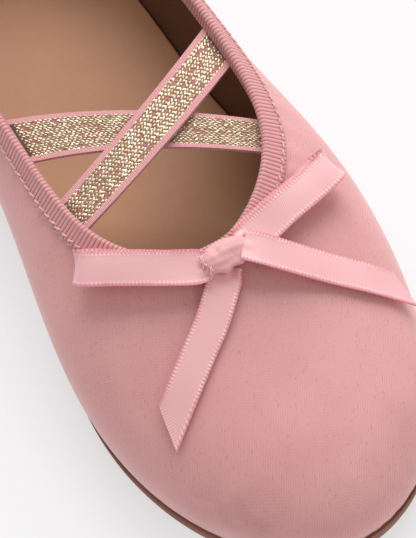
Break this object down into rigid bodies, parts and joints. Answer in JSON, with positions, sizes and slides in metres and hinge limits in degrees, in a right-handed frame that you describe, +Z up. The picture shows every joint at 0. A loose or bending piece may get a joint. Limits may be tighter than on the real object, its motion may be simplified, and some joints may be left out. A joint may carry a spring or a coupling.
{
  "type": "ballet flat",
  "caption": "Child's left ballet flat: lasted satin upper with ribbed collar binding, crossed glitter elastic straps, ribbon bow, insole and moulded low-heeled sole",
  "frame": {"origin": "middle of the shoe's box in plan, on the floor under the sole", "axes": "+X from heel to toe, +Y to the shoe's left (its outer side), +Z up"},
  "size_m": [0.205, 0.0796, 0.051],
  "materials": {
    "sole_rubber": "matte brown",
    "insole_leather": "smooth tan",
    "upper_satin": "dusty pink satin",
    "binding_tape": "ribbed pink tape",
    "glitter_elastic": "pale gold metallic yarn on pink",
    "bow_ribbon": "bright pink satin"
  },
  "bodies": {
    "root": {"outsole": "sole_rubber", "insole": "insole_leather", "upper": "upper_satin", "collar_binding": "binding_tape", "strap_under": "glitter_elastic", "strap_over": "glitter_elastic", "bow_loop_medial": "bow_ribbon", "bow_loop_lateral": "bow_ribbon", "bow_tail_medial": "bow_ribbon", "bow_tail_lateral": "bow_ribbon", "bow_knot": "bow_ribbon"}
  },
  "joints": []
}
